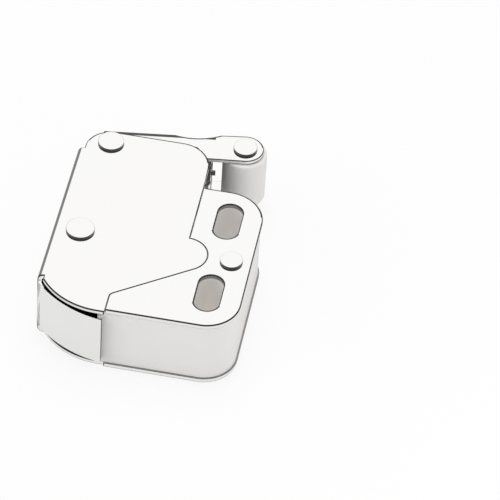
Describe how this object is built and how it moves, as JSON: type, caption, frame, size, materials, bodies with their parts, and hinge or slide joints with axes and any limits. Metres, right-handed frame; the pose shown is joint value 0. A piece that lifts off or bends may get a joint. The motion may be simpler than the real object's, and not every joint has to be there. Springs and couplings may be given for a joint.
{
  "type": "push to open catch",
  "caption": "Flat steel push-to-open catch with a screw lug on slotted holes and a sprung channel arm that carries a white roller.",
  "frame": {"origin": "midway between the two screw slots, on the back panel face that is screwed down", "axes": "+Z stands off the mounting face, +Y runs along the slots towards the arm, +X towards the free edge of the screw lug"},
  "size_m": [0.0366, 0.0525, 0.0156],
  "materials": {
    "plated_sheet": "bright nickel plate on folded sheet",
    "plated_rivet": "bright nickel plate on set rivets",
    "white_moulding": "satin white moulded nylon",
    "plain_steel": "turned and punched steel, lightly oiled",
    "spring_steel": "drawn spring wire"
  },
  "bodies": {
    "case_body": {"case": "plated_sheet", "lug_plate": "plated_sheet", "spacer_block": "white_moulding", "pivot_rivet": "plated_rivet", "link_rivet": "plated_rivet", "lug_rivet": "plated_rivet", "pivot_sleeve": "plain_steel", "link_sleeve_back": "plain_steel", "link_sleeve_front": "plain_steel", "follower_spring": "spring_steel"},
    "arm_body": {"arm": "plated_sheet", "roller_axle": "plated_rivet", "roller_bush": "plain_steel", "cam_block": "white_moulding", "spring_pin": "plain_steel", "spring_bush": "white_moulding", "arm_spring": "spring_steel"},
    "roller_body": {"roller": "white_moulding"},
    "follower_body": {"follower_link": "plain_steel", "follower_pin": "plain_steel"}
  },
  "joints": [
    {"name": "arm_swing", "type": "hinge", "parent": "case_body", "child": "arm_body", "pos_m": [-0.02485, 0.02485, 0.00725], "axis": [0, 0, 1], "range_deg": [-8, 50], "stiffness_Nm_per_rad": 0.2, "deforming": ["arm_spring", "follower_spring"]},
    {"name": "roller_spin", "type": "hinge", "parent": "arm_body", "child": "roller_body", "pos_m": [-0.00059, 0.03001, 0.00725], "axis": [0, 0, 1], "continuous": true},
    {"name": "follower_swing", "type": "hinge", "parent": "case_body", "child": "follower_body", "pos_m": [-0.0255, 0.00115, 0.00725], "axis": [0, 0, 1], "range_deg": [-0.8, 5]}
  ],
  "couplings": [
    {"joint": "follower_swing", "follows": "arm_swing", "ratio": 0.1}
  ]
}
